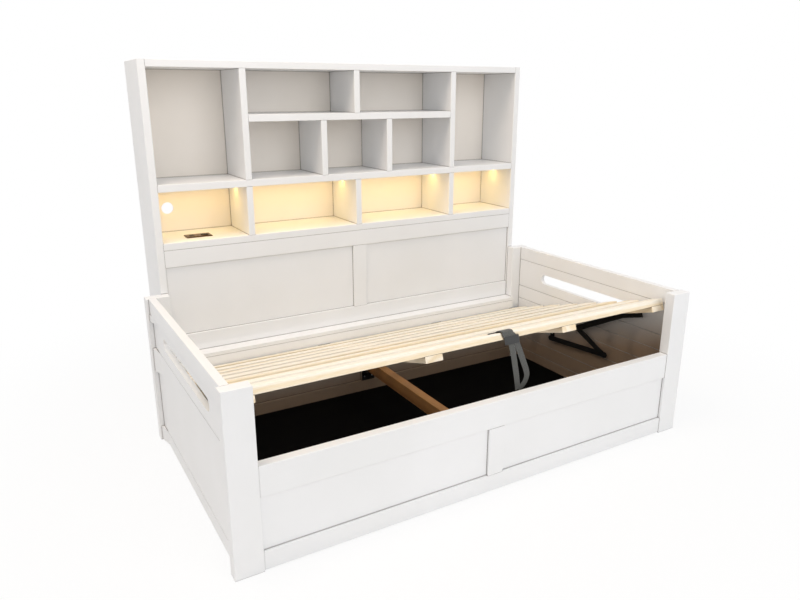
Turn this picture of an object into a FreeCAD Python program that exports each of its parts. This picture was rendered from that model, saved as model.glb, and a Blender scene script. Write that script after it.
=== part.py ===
"""Daybed with a bookcase along its back and a lift-up slatted platform over a storage box.

Millimetres. X runs along the bed, the front faces -Y and Z is up. The origin is the middle of
the footprint, on the floor. The platform stands raised by lift_angle about the hinges at its
rear edge; at zero it would lie level, a hand's breadth below the top of the front rail.
"""
import FreeCAD, Part
import os
import re

SIZES = {
    # bed frame
    "bed_long": 2020,
    "frame_deep": 1100,
    "post_wide": 97,
    "post_deep": 45,
    "post_high": 640,
    "rail_lift": 4,
    "rail_thick": 36,
    "rail_set": 3,
    "rail_top": 373,
    "top_rail_high": 108,
    "bottom_rail_high": 68,
    "stile_wide": 70,
    "panel_set": 10,
    "panel_thick": 12,
    "rear_rail_inset": 27,
    "ledge_top": 365,
    "ledge_thick": 18,
    # side frames
    "side_set": 11,
    "side_thick": 30,
    "arm_rail_high": 67,
    "slot_board_high": 148,
    "slot_long": 660,
    "slot_high": 50,
    "board_set": 9,
    "tab_long": 70,
    "tab_proud": 13,
    "slot_tab_high": 28,
    "plank_tab_high": 100,
    "plank_pitch": 72,
    "side_rail_high": 61,
    # storage box
    "floor_thick": 8,
    "floor_rise": 7,
    "bearer_wide": 60,
    "beam_wide": 40,
    "beam_high": 60,
    "beam_low": 132,
    "hanger_wide": 66,
    "hanger_leg": 60,
    "hanger_thick": 3,
    "hanger_screw_inset": 12,
    "hanger_screw_drop": 39,
    "ledger_thick": 18,
    "ledger_high": 40,
    "ledger_left_end": 40,
    "ledger_right_end": 235,
    "rest_gap": 0.5,
    # platform
    "lift_angle": 17.3,
    "platform_recess": 70,
    "platform_side_gap": 14,
    "platform_gap": 3,
    "slat_wide": 68,
    "slat_thick": 27,
    "bar_wide": 72,
    "bar_thick": 24,
    "bar_left": 232,
    "bar_right": 405,
    "strap_slot_long": 120,
    "strap_slot_wide": 9,
    "strap_slot_back": 28,
    "strap_slot_x": 62,
    # butt hinges
    "knuckle_radius": 4.5,
    "knuckle_gap": 0.2,
    "hinge_below": 5,
    "hinge_wide": 60,
    "leaf_thick": 2,
    "leaf_high": 34,
    "leaf_clear": 0.3,
    "pin_radius": 2.5,
    "running_fit": 0.05,
    "tab_overlap": 1,
    "hinge_screw_inset": 10,
    "hinge_screw_upper": 13.6,
    "hinge_screw_lower": 25.5,
    # lift linkage
    "plate_thick": 4,
    "wall_plate_thick": 3,
    "wall_plate_wide": 28,
    "wall_plate_high": 62,
    "wall_screw_lower": 38.5,
    "wall_screw_upper": 53.3,
    "link_gap": 1.5,
    "wall_gap": 9.5,
    "arm_gap": 2.5,
    "arm_front": 875,
    "arm_knee": 760,
    "arm_tall": 28,
    "arm_flange": 24,
    "arm_screw_front": 18,
    "arm_screw_rear": 22,
    "arm_reach": 445.4,
    "arm_drop": 119.2,
    "link_wide": 26,
    "wall_pivot_reach": 268,
    "wall_pivot_high": 203,
    "lower_link_long": 381,
    "lower_link_tilt": 4.6,
    "pivot_radius": 5,
    "pivot_head": 9,
    "head_thick": 2,
    "stud_head_thick": 1.6,
    "loose_fit": 2.6,
    # screws
    "screw_radius": 2,
    "screw_long": 14,
    "screw_head": 4.5,
    "screw_head_thick": 2,
    # pull strap
    "strap_thick": 1.8,
    "strap_clear": 0.2,
    "webbing_wide": 29,
    "wrap_wide": 57,
    "wrap_x": 88,
    "strand_thick": 2.2,
    "strand_left_top": 92,
    "strand_right_top": 121,
    "strand_left_foot": 136,
    "strand_right_bend": 190,
    "strand_drop": 214,
    "strand_bend_drop": 146,
    "keeper_drop": 6,
    "keeper_high": 24,
    "keeper_left": 76.5,
    "keeper_right": 157,
    "keeper_thick": 2,
    # bookcase
    "case_inset": 70,
    "case_deep": 270,
    "case_high": 1576,
    "case_side": 30,
    "case_top": 28,
    "shelf_thick": 30,
    "partition_thick": 28,
    "back_thick": 8,
    "upper_shelf_low": 1334,
    "main_shelf_low": 1063,
    "lower_shelf_low": 822,
    "centre_bay": 1028,
    "middle_cell": 308,
    "apron_high": 73,
    "apron_thick": 20,
    "lower_panel_high": 305,
    "lower_panel_set": 10,
    "lower_rail_high": 100,
    "base_rise": 60,
    "cable_hole_radius": 26,
    "cable_hole_inset": 84,
    "cable_hole_z": 958,
    # lights and socket
    "light_wide": 16,
    "light_high": 8,
    "light_wall": 2,
    "light_back": 153,
    "socket_long": 110,
    "socket_deep": 64,
    "socket_thick": 4,
    "socket_inset": 170,
    "socket_back": 102,
    "port_radius": 17,
    "port_rise": 3,
    "port_inset": 10,
    "flat_port_inset": 27.5,
    "flat_port_wide": 17,
    "flat_port_deep": 8.5,
    "flat_port_out": 10.2,
    "flat_port_rise": 1.5,
    # finish
    "edge_ease": 1.5,
    "groove_ease": 2.5,
}
SLAT_COUNT = 8
KNUCKLE_COUNT = 5
PAST = 1  # how far a cutting form reaches past the faces that it opens
SAME_PLANE = 1e-3  # two edges nearer than this lie on one face

doc = FreeCAD.newDocument("BookcaseDaybed")
sheet = doc.addObject("Spreadsheet::Sheet", "Sizes")
for row, (alias, value) in enumerate(SIZES.items(), start=1):
    sheet.set(f"A{row}", str(value))
    sheet.setAlias(f"A{row}", alias)
doc.recompute()

ALIASES = re.compile(r"\b(" + "|".join(SIZES) + r")\b")
nodes = []


def bound(formula):
    """A formula in the sheet's own names, as an expression on its cells."""
    return ALIASES.sub(r"Sizes.\1", str(formula))


def size(alias):
    """The present value of one named size."""
    return float(sheet.get(alias))


# Planes that several pieces share, as formulas.
HALF = "bed_long / 2"
FRONT = "(-(frame_deep + case_deep) / 2)"
BACK = "((frame_deep + case_deep) / 2)"
CASE_FRONT = f"({FRONT} + frame_deep)"
POST_IN = f"({HALF} - post_wide)"
SIDE_OUT = f"({HALF} - side_set)"
SIDE_IN = f"({HALF} - side_set - side_thick)"
BOARD_OUT = f"({SIDE_OUT} - board_set)"
RAIL_FACE = f"({FRONT} + rail_set)"
INNER_FRONT = f"({RAIL_FACE} + rail_thick)"
REAR_OUT = f"({CASE_FRONT} - rear_rail_inset)"
INNER_REAR = f"({REAR_OUT} - rail_thick)"
POST_BACK_FRONT = f"({FRONT} + post_deep)"
POST_FRONT_REAR = f"({CASE_FRONT} - post_deep)"
RAIL_LOW = "(rail_top - top_rail_high)"
BOTTOM_TOP = "(rail_lift + bottom_rail_high)"
ARM_LOW = "(post_high - arm_rail_high)"
SLOT_BOARD_LOW = f"({ARM_LOW} - slot_board_high)"
SIDE_RAIL_TOP = "(rail_lift + side_rail_high)"
FLOOR_TOP = "(floor_rise + floor_thick)"
PLATFORM_TOP = "(rail_top - platform_recess)"
PLATFORM_HALF = f"({SIDE_IN} - platform_side_gap)"

# The hinge axis, and the platform as it would lie level, measured from that axis.
HINGE_Y = f"({INNER_REAR} - knuckle_gap - knuckle_radius)"
HINGE_Z = f"({PLATFORM_TOP} - hinge_below)"
EDGE_REAR = "(-(knuckle_radius + leaf_clear + leaf_thick))"
EDGE_FRONT = f"({POST_BACK_FRONT} + platform_gap - {HINGE_Y})"
SLAT_TOP = "hinge_below"
SLAT_LOW = "(hinge_below - slat_thick)"
BAR_LOW = f"({SLAT_LOW} - bar_thick)"
SLAT_PITCH = f"(({EDGE_REAR} - {EDGE_FRONT} - slat_wide) / {SLAT_COUNT - 1})"
LIFTED = f"placement(vector(0; {HINGE_Y}; {HINGE_Z}); rotation(vector(1; 0; 0); -lift_angle))"
END_BAR = f"({PLATFORM_HALF} - bar_wide / 2)"
BAR_CENTRES = (f"-{END_BAR}", "-bar_left", "bar_right", END_BAR)

# Layers of the linkage, from the side frame inwards.
WALL_PLATE_IN = f"({SIDE_IN} - wall_plate_thick)"
LOWER_LINK_OUT = f"({WALL_PLATE_IN} - wall_gap)"
LOWER_LINK_IN = f"({LOWER_LINK_OUT} - plate_thick)"
UPPER_LINK_OUT = f"({LOWER_LINK_IN} - link_gap)"
UPPER_LINK_IN = f"({UPPER_LINK_OUT} - plate_thick)"
ARM_OUT = f"({UPPER_LINK_IN} - arm_gap)"
ARM_IN = f"({ARM_OUT} - plate_thick)"
ARM_AXIS = f"({BAR_LOW} - arm_tall / 2)"

# Pivots of the linkage in the raised pose.
WALL_PIVOT = (f"({HINGE_Y} - wall_pivot_reach)", "wall_pivot_high")
ARM_PIVOT = (f"({HINGE_Y} - arm_reach * cos(lift_angle * 1deg) - arm_drop * sin(lift_angle * 1deg))",
             f"({HINGE_Z} + arm_reach * sin(lift_angle * 1deg) - arm_drop * cos(lift_angle * 1deg))")
LINK_PIVOT = (f"({WALL_PIVOT[0]} - lower_link_long * cos(lower_link_tilt * 1deg))",
              f"({WALL_PIVOT[1]} + lower_link_long * sin(lower_link_tilt * 1deg))")
LINK_RUN = f"({LINK_PIVOT[0]} - {ARM_PIVOT[0]})"
LINK_RISE = f"({LINK_PIVOT[1]} - {ARM_PIVOT[1]})"

# Bookcase planes.
CASE_HALF = f"({HALF} - case_inset)"
CASE_IN = f"({CASE_HALF} - case_side)"
CASE_BACK_IN = f"({BACK} - back_thick)"
CASE_TOP_LOW = "(case_high - case_top)"
APRON_LOW = "(lower_shelf_low - apron_high)"
LOWER_PANEL_LOW = f"({APRON_LOW} - lower_panel_high)"
BAY_HALF = "(centre_bay / 2)"
MAIN_SHELF_TOP = "(main_shelf_low + shelf_thick)"
UPPER_SHELF_TOP = "(upper_shelf_low + shelf_thick)"
LOWER_SHELF_TOP = "(lower_shelf_low + shelf_thick)"


def node(piece, name):
    """Marks a finished piece as a sub-part of its own."""
    piece.Label = name
    nodes.append(piece)
    return piece


def block(name, across, depth, height):
    """A squared board, given by its low and high face along X, Y and Z."""
    blank = doc.addObject("Part::Box", name)
    for side, spot, (low, high) in (("Length", "x", across), ("Width", "y", depth),
                                    ("Height", "z", height)):
        blank.setExpression(side, bound(f"({high}) - ({low})"))
        blank.setExpression(f"Placement.Base.{spot}", bound(low))
    return blank


TURNS = {"x": "rotation(vector(0; 1; 0); 90)", "y": "rotation(vector(1; 0; 0); -90)",
         "z": "rotation(vector(0; 0; 1); 0)"}


def rod(name, axis, start, length, radius):
    """A round bar from a start point, along an axis."""
    bar = doc.addObject("Part::Cylinder", name)
    bar.setExpression("Radius", bound(radius))
    bar.setExpression("Height", bound(length))
    spot = "; ".join(f"({part})" for part in start)
    bar.setExpression("Placement", bound(f"placement(vector({spot}); {TURNS[axis]})"))
    return bar


def cut(name, base, *tools):
    """A piece with the tools taken out of it."""
    tool = tools[0] if len(tools) == 1 else group(f"{name}_tools", tools)
    piece = doc.addObject("Part::Cut", name)
    piece.Base = base
    piece.Tool = tool
    return piece


def fused(name, *pieces):
    """Several forms that are one piece of material."""
    piece = doc.addObject("Part::MultiFuse", name)
    piece.Shapes = list(pieces)
    piece.Refine = True
    return piece


def group(name, pieces):
    """Separate pieces kept together."""
    piece = doc.addObject("Part::Compound", name)
    piece.Links = list(pieces)
    return piece


def lifted(piece):
    """Carries a piece, modelled from the hinge axis, to the raised platform."""
    piece.setExpression("Placement", bound(LIFTED))
    return piece


def eased(name, blank, directions, ease="edge_ease", keep=lambda edge: True):
    """The blank with the edges that run along the given directions taken off."""
    doc.recompute()
    axes = {"x": FreeCAD.Vector(1, 0, 0), "y": FreeCAD.Vector(0, 1, 0), "z": FreeCAD.Vector(0, 0, 1)}
    flat = size(ease)
    chosen = []
    for number, edge in enumerate(blank.Shape.Edges, start=1):
        if not isinstance(edge.Curve, Part.Line):
            continue
        along = any(abs(abs(edge.Curve.Direction.dot(axes[way])) - 1) < 1e-6 for way in directions)
        if along and keep(edge):
            chosen.append((number, flat, flat))
    piece = doc.addObject("Part::Chamfer", name)
    piece.Base = blank
    piece.Edges = chosen
    return piece


def board(name, across, depth, height, directions="xyz"):
    """A board that is a sub-part, with its edges eased."""
    blank = block(f"{name}_blank", across, depth, height)
    return node(eased(name, blank, directions), name)


def both(span):
    """The same span on the left and on the right of the middle."""
    low, high = span
    return {"left": (f"-({high})", f"-({low})"), "right": (low, high)}


def centred(middle, width):
    return (f"({middle}) - ({width}) / 2", f"({middle}) + ({width}) / 2")


def tabbed(name, piece, hand, height):
    """The piece with its outer face flared where it meets the rear post, over the given height."""
    tab = doc.addObject("Part::Wedge", f"{name}_tab")
    near = both((f"{BOARD_OUT} - {PAST}", BOARD_OUT))[hand]
    far = both((f"{BOARD_OUT} - {PAST}", f"{BOARD_OUT} + tab_proud"))[hand]
    for plane, where in (("Xmin", near[0]), ("Xmax", near[1]), ("X2min", far[0]), ("X2max", far[1]),
                         ("Ymin", f"{POST_FRONT_REAR} - tab_long"), ("Ymax", POST_FRONT_REAR),
                         ("Zmin", height[0]), ("Z2min", height[0]),
                         ("Zmax", height[1]), ("Z2max", height[1])):
        tab.setExpression(plane, bound(where))
    return fused(name, piece, tab)


def screw(name, axis, point, way):
    """A pan-head screw: the head stands on the point, the shank runs in along way (+1 or -1)."""
    spot = dict(zip("xyz", point))
    head_start = dict(spot)
    shank_start = dict(spot)
    if way > 0:
        head_start[axis] = f"({spot[axis]}) - screw_head_thick"
    else:
        shank_start[axis] = f"({spot[axis]}) - screw_long"
    head = rod(f"{name}_head", axis, head_start.values(), "screw_head_thick", "screw_head")
    shank = rod(f"{name}_shank", axis, shank_start.values(), "screw_long", "screw_radius")
    return fused(name, head, shank)


def screw_hole(name, axis, point):
    """The hole for a screw's shank, through whatever lies up to its length on both sides."""
    start = dict(zip("xyz", point))
    start[axis] = f"({start[axis]}) - screw_long - running_fit"
    return rod(name, axis, start.values(), "2 * (screw_long + running_fit)",
               "screw_radius + running_fit")


# ---------------------------------------------------------------- posts
for end, depth in (("front", (FRONT, POST_BACK_FRONT)), ("rear", (POST_FRONT_REAR, CASE_FRONT))):
    for hand, across in both((POST_IN, HALF)).items():
        board(f"post_{end}_{hand}", across, depth, ("0", "post_high"))

# ---------------------------------------------------------------- front and rear rails
LENGTH = (f"-{POST_IN}", POST_IN)
FRONT_RAIL = (RAIL_FACE, INNER_FRONT)
REAR_RAIL = (INNER_REAR, REAR_OUT)
board("front_top_rail", LENGTH, FRONT_RAIL, (RAIL_LOW, "rail_top"), "x")
board("front_bottom_rail", LENGTH, FRONT_RAIL, ("rail_lift", BOTTOM_TOP), "x")
board("rear_bottom_rail", LENGTH, REAR_RAIL, ("rail_lift", BOTTOM_TOP), "x")
board("rear_ledge", LENGTH, (INNER_REAR, CASE_FRONT), ("ledge_top - ledge_thick", "ledge_top"), "x")

HINGE_SCREW_X = "hinge_wide / 2 - hinge_screw_inset"
HINGE_SCREW_DROPS = ("hinge_screw_upper", "hinge_screw_lower")
rear_rail_blank = block("rear_top_rail_blank", LENGTH, REAR_RAIL,
                        (RAIL_LOW, "ledge_top - ledge_thick"))
fixed_leaf_spots = []
moving_leaf_spots = []
for centre in BAR_CENTRES:
    for way, drop in zip(("-", "+"), HINGE_SCREW_DROPS):
        across = f"({centre}) {way} ({HINGE_SCREW_X})"
        fixed_leaf_spots.append((across, f"{INNER_REAR} - leaf_thick", f"{HINGE_Z} - {drop}"))
        moving_leaf_spots.append((across, f"{EDGE_REAR} + leaf_thick", f"-({drop})"))
rear_rail_holes = [screw_hole(f"rear_rail_hole_{index}", "y", spot)
                   for index, spot in enumerate(fixed_leaf_spots)]
rear_rail = cut("rear_top_rail_drilled", eased("rear_top_rail_planed", rear_rail_blank, "x"),
                *rear_rail_holes)
node(rear_rail, "rear_top_rail")

# Middle stiles, drilled for the screws of the beam hangers.
HANGER_SCREW_X = "hanger_wide / 2 - hanger_screw_inset"
hanger_spots = {"front": [], "rear": []}
for way in ("-", "+"):
    across = f"0 {way} ({HANGER_SCREW_X})"
    height = "beam_low - hanger_screw_drop"
    hanger_spots["front"].append((across, f"{INNER_FRONT} + hanger_thick", height))
    hanger_spots["rear"].append((across, f"{INNER_REAR} - hanger_thick", height))
stiles = []
for end, depth in (("front", FRONT_RAIL), ("rear", REAR_RAIL)):
    blank = block(f"{end}_stile_blank", centred("0", "stile_wide"), depth, (BOTTOM_TOP, RAIL_LOW))
    holes = [screw_hole(f"{end}_stile_hole_{index}", "y", spot)
             for index, spot in enumerate(hanger_spots[end])]
    stiles.append(cut(f"{end}_stile", eased(f"{end}_stile_planed", blank, "z"), *holes))
node(group("mid_stiles", stiles), "mid_stiles")

panels = []
for end, face in (("front", f"{RAIL_FACE} + panel_set"), ("rear", f"{INNER_REAR} + panel_set")):
    for hand, across in both(("stile_wide / 2", POST_IN)).items():
        panels.append(block(f"{end}_panel_{hand}", across, (face, f"{face} + panel_thick"),
                            (BOTTOM_TOP, RAIL_LOW)))
node(group("frame_panels", panels), "frame_panels")

# ---------------------------------------------------------------- side frames
SIDE_DEPTH = (POST_BACK_FRONT, POST_FRONT_REAR)
SLOT_MIDDLE_Y = f"({FRONT} + frame_deep / 2)"
SLOT_MIDDLE_Z = f"({SLOT_BOARD_LOW} + slot_board_high / 2)"
WALL_SCREW_RISES = ("wall_screw_lower", "wall_screw_upper")
plank_count = int(-(-(size("post_high") - size("arm_rail_high") - size("slot_board_high")
                      - size("rail_lift") - size("side_rail_high")) // size("plank_pitch")))
bottom_rails = []
wall_spots = {}
inner_x = size("bed_long") / 2 - size("side_set") - size("side_thick")
outer_joints = (size("post_high") - size("arm_rail_high") - size("slot_board_high"),
                size("rail_lift") + size("side_rail_high"))


def in_joint(edge):
    """Whether a plank's edge lies in a V joint: every one inside, the highest and the lowest outside."""
    spot = edge.CenterOfMass
    return (abs(abs(spot.x) - inner_x) < SAME_PLANE
            or any(abs(spot.z - level) < SAME_PLANE for level in outer_joints))


for hand, across in both((SIDE_IN, BOARD_OUT)).items():
    board(f"side_top_rail_{hand}", both((SIDE_IN, SIDE_OUT))[hand], SIDE_DEPTH, (ARM_LOW, "post_high"), "y")
    blank = block(f"slot_board_{hand}_blank", across, SIDE_DEPTH, (SLOT_BOARD_LOW, ARM_LOW))
    through = (f"{across[0]} - {PAST}", f"{across[1]} + {PAST}")
    reach = f"{through[1]} - ({through[0]})"
    slot_box = block(f"slot_{hand}_middle", through, centred(SLOT_MIDDLE_Y, "slot_long - slot_high"),
                     centred(SLOT_MIDDLE_Z, "slot_high"))
    slot_ends = [rod(f"slot_{hand}_end_{index}", "x",
                     (through[0], f"{SLOT_MIDDLE_Y} {way} (slot_long - slot_high) / 2", SLOT_MIDDLE_Z),
                     reach, "slot_high / 2") for index, way in enumerate(("-", "+"))]
    slot = fused(f"slot_{hand}", slot_box, *slot_ends)
    planed = eased(f"slot_board_{hand}_planed", blank, "y", "groove_ease")
    slotted = cut(f"slot_board_{hand}_slotted", planed, slot)
    node(tabbed(f"slot_board_{hand}", slotted, hand, (f"{ARM_LOW} - slot_tab_high", ARM_LOW)),
         f"slot_board_{hand}")

    # Planks with V joints on the inside, and outside at the top and foot; the lowest one is narrower.
    plate_face = both((WALL_PLATE_IN, SIDE_IN))[hand]
    plate_inside = plate_face[1] if hand == "left" else plate_face[0]
    wall_spots[hand] = [(plate_inside, WALL_PIVOT[0], f"{WALL_PIVOT[1]} - link_wide / 2 + {rise}")
                        for rise in WALL_SCREW_RISES]
    side_holes = [screw_hole(f"wall_hole_{hand}_{index}", "x", spot)
                  for index, spot in enumerate(wall_spots[hand])]
    planks = []
    for index in range(plank_count):
        top = f"{SLOT_BOARD_LOW} - {index} * plank_pitch"
        low = SIDE_RAIL_TOP if index == plank_count - 1 else f"{top} - plank_pitch"
        plank = block(f"plank_{hand}_{index}_blank", across, SIDE_DEPTH, (low, top))
        planed = eased(f"plank_{hand}_{index}_planed", plank, "y", "groove_ease", in_joint)
        tab_left = size("plank_tab_high") - index * size("plank_pitch")
        if tab_left > 0:
            tab_low = low if tab_left > size("plank_pitch") else f"{SLOT_BOARD_LOW} - plank_tab_high"
            planed = tabbed(f"plank_{hand}_{index}", planed, hand, (tab_low, top))
        planks.append(planed)
    drilled = [cut(f"plank_{hand}_{index}_drilled", plank, *side_holes)
               for index, plank in enumerate(planks)]
    node(group(f"side_planks_{hand}", drilled), f"side_planks_{hand}")
    rail = block(f"side_bottom_rail_{hand}_blank", across, SIDE_DEPTH, ("rail_lift", SIDE_RAIL_TOP))
    planed = eased(f"side_bottom_rail_{hand}_planed", rail, "y", "groove_ease")
    bottom_rails.append(tabbed(f"side_bottom_rail_{hand}", planed, hand, ("rail_lift", SIDE_RAIL_TOP)))
node(group("side_bottom_rails", bottom_rails), "side_bottom_rails")

# ---------------------------------------------------------------- storage box
floors = []
for hand in ("left", "right"):
    sheet_blank = block(f"floor_{hand}_blank", both(("0", SIDE_IN))[hand], (INNER_FRONT, INNER_REAR),
                        ("floor_rise", FLOOR_TOP))
    corner = block(f"floor_{hand}_corner", both((POST_IN, f"{SIDE_IN} + {PAST}"))[hand],
                   (f"{INNER_FRONT} - {PAST}", POST_BACK_FRONT),
                   (f"floor_rise - {PAST}", f"{FLOOR_TOP} + {PAST}"))
    floors.append(cut(f"floor_{hand}", sheet_blank, corner))
node(group("floor_panels", floors), "floor_panels")
bearer = block("floor_bearer", centred("0", "bearer_wide"), (INNER_FRONT, INNER_REAR), ("0", "floor_rise"))
node(bearer, "floor_bearer")
board("support_beam", centred("0", "beam_wide"), (INNER_FRONT, INNER_REAR),
      ("beam_low", "beam_low + beam_high"), "y")

hangers = []
for end, wall, way in (("front", INNER_FRONT, "+"), ("rear", INNER_REAR, "-")):
    leg_end = f"{wall} {way} hanger_thick"
    foot_end = f"{wall} {way} hanger_leg"
    leg_depth = (wall, leg_end) if way == "+" else (leg_end, wall)
    foot_depth = (wall, foot_end) if way == "+" else (foot_end, wall)
    wide = centred("0", "hanger_wide")
    leg = block(f"hanger_{end}_leg", wide, leg_depth, ("beam_low - hanger_leg", "beam_low"))
    foot = block(f"hanger_{end}_foot", wide, foot_depth, ("beam_low - hanger_thick", "beam_low"))
    holes = [screw_hole(f"hanger_{end}_hole_{index}", "y", spot)
             for index, spot in enumerate(hanger_spots[end])]
    hangers.append(cut(f"hanger_{end}", fused(f"hanger_{end}_angle", leg, foot), *holes))
node(group("beam_hangers", hangers), "beam_hangers")
# Two lengths of ledger carry the closed platform; the pull strap drops between them.
LEDGER_TOP = f"({HINGE_Z} + {BAR_LOW} - rest_gap)"
ledger_spans = {"left": (f"-{POST_IN}", "ledger_left_end"), "right": ("ledger_right_end", POST_IN)}
ledgers = []
for hand, across in ledger_spans.items():
    blank = block(f"ledger_{hand}_blank", across, (INNER_FRONT, f"{INNER_FRONT} + ledger_thick"),
                  (f"{LEDGER_TOP} - ledger_high", LEDGER_TOP))
    ledgers.append(eased(f"ledger_{hand}", blank, "x"))
node(group("front_ledgers", ledgers), "front_ledgers")

# ---------------------------------------------------------------- platform
slats = []
for index in range(SLAT_COUNT):
    rear_edge = f"{EDGE_REAR} - {index} * {SLAT_PITCH}"
    blank = block(f"slat_{index + 1}_blank", (f"-{PLATFORM_HALF}", PLATFORM_HALF),
                  (f"{rear_edge} - slat_wide", rear_edge), (SLAT_LOW, SLAT_TOP))
    slats.append(eased(f"slat_{index + 1}", blank, "x"))
strap_slot_y = f"({EDGE_FRONT} + strap_slot_back)"
slot_depth = (f"{SLAT_LOW} - {PAST}", f"{SLAT_TOP} + {PAST}")
slot_straight = "(strap_slot_long - strap_slot_wide)"
strap_slot = fused("strap_slot",
                   block("strap_slot_middle", centred("strap_slot_x", slot_straight),
                         centred(strap_slot_y, "strap_slot_wide"), slot_depth),
                   *[rod(f"strap_slot_end_{index}", "z",
                         (f"strap_slot_x {way} {slot_straight} / 2", strap_slot_y, slot_depth[0]),
                         f"slat_thick + {2 * PAST}", "strap_slot_wide / 2")
                     for index, way in enumerate(("-", "+"))])
slats[-1] = cut("front_slat", slats[-1], strap_slot)
leaf_holes = [screw_hole(f"bar_leaf_hole_{index}", "y", spot)
              for index, spot in enumerate(moving_leaf_spots)]
slats[0] = cut("rear_slat", slats[0], *leaf_holes[::2])
node(lifted(group("slats", slats)), "slats")

ARM_SCREWS = ("-(arm_front - arm_screw_front)", "-(arm_knee + arm_screw_rear)")
arm_spots = {}
for hand in ("left", "right"):
    middle = both((f"{ARM_IN} - arm_flange / 2", "0"))[hand]
    across = middle[1] if hand == "left" else middle[0]
    arm_spots[hand] = [(across, depth, f"{BAR_LOW} - plate_thick") for depth in ARM_SCREWS]
bar_holes = [[hole] for hole in leaf_holes[1::2]]
for hand, end in (("left", 0), ("right", -1)):
    bar_holes[end] += [screw_hole(f"arm_hole_{hand}_{index}", "z", spot)
                       for index, spot in enumerate(arm_spots[hand])]
bars = []
for index, centre in enumerate(BAR_CENTRES):
    name = f"cross_bar_{index + 1}"
    blank = block(f"{name}_blank", centred(centre, "bar_wide"), (EDGE_FRONT, EDGE_REAR), (BAR_LOW, SLAT_LOW))
    bars.append(cut(name, eased(f"{name}_planed", blank, "y"), *bar_holes[index]))
node(lifted(group("cross_bars", bars)), "cross_bars")

# ---------------------------------------------------------------- butt hinges
# Five knuckles a hinge: the odd ones belong to the rail's leaf, the even ones to the platform's.
fixed_leaves = []
moving_leaves = []
hinge_pins = []
for index, centre in enumerate(BAR_CENTRES):
    low_x = f"({centre}) - hinge_wide / 2"
    pitch = f"(hinge_wide / {KNUCKLE_COUNT})"
    fixed = [block(f"fixed_plate_{index}", centred(centre, "hinge_wide"),
                   ("knuckle_radius + knuckle_gap - leaf_thick", "knuckle_radius + knuckle_gap"),
                   ("-leaf_high", "-(knuckle_radius + leaf_clear)"))]
    moving = [block(f"moving_plate_{index}", centred(centre, "hinge_wide"),
                    (EDGE_REAR, f"{EDGE_REAR} + leaf_thick"),
                    ("-leaf_high", "-(knuckle_radius + leaf_clear)"))]
    for knuckle in range(KNUCKLE_COUNT):
        start = f"{low_x} + {knuckle} * {pitch} + leaf_clear / 2"
        width = f"({pitch} - leaf_clear)"
        across = (start, f"{start} + {width}")
        barrel = rod(f"knuckle_{index}_{knuckle}", "x", (start, "0", "0"), width, "knuckle_radius")
        if knuckle % 2 == 0:
            tab = block(f"knuckle_tab_{index}_{knuckle}", across,
                        ("knuckle_radius + knuckle_gap - leaf_thick", "knuckle_radius + knuckle_gap"),
                        ("-(knuckle_radius + leaf_clear)", "0"))
            fixed += [tab, barrel]
        else:
            tab = block(f"knuckle_tab_{index}_{knuckle}", across,
                        (EDGE_REAR, "-(knuckle_radius - tab_overlap)"),
                        ("-(knuckle_radius + leaf_clear)", "0"))
            moving += [tab, barrel]
    pin_bore = rod(f"hinge_bore_{index}", "x", (f"{low_x} - {PAST}", "0", "0"),
                   f"hinge_wide + {2 * PAST}", "pin_radius + running_fit")
    rail_holes = []
    platform_holes = []
    for number in (2 * index, 2 * index + 1):
        across, _, drop = moving_leaf_spots[number]
        rail_holes.append(screw_hole(f"fixed_leaf_hole_{number}", "y", (across, "knuckle_radius", drop)))
        platform_holes.append(screw_hole(f"moving_leaf_hole_{number}", "y", (across, EDGE_REAR, drop)))
    fixed_leaves.append(cut(f"fixed_leaf_{index}", fused(f"fixed_leaf_{index}_blank", *fixed),
                            pin_bore, *rail_holes))
    moving_leaves.append(cut(f"moving_leaf_{index}", fused(f"moving_leaf_{index}_blank", *moving),
                             pin_bore, *platform_holes))
    hinge_pins.append(rod(f"hinge_pin_{index}", "x", (f"{low_x} - leaf_thick", "0", "0"),
                          "hinge_wide + 2 * leaf_thick", "pin_radius"))
AT_HINGE = f"placement(vector(0; {HINGE_Y}; {HINGE_Z}); rotation(vector(1; 0; 0); 0))"
for name, pieces in (("hinge_rail_leaves", fixed_leaves), ("hinge_pins", hinge_pins)):
    piece = node(group(name, pieces), name)
    piece.setExpression("Placement", bound(AT_HINGE))
node(lifted(group("hinge_platform_leaves", moving_leaves)), "hinge_platform_leaves")

# ---------------------------------------------------------------- lift linkage
def pivoted_bar(name, across, length):
    """A flat bar along +Y from its pivot at the origin, with round ends."""
    width = f"{across[1]} - ({across[0]})"
    middle = block(f"{name}_middle", across, ("0", length), centred("0", "link_wide"))
    ends = [rod(f"{name}_end_{index}", "x", (across[0], spot, "0"), width, "link_wide / 2")
            for index, spot in enumerate(("0", length))]
    return [middle] + ends


def bore(name, across, depth, height, radius):
    """A hole along X through a plate."""
    return rod(name, "x", (f"{across[0]} - {PAST}", depth, height),
               f"{across[1]} - ({across[0]}) + {2 * PAST}", radius)


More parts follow.
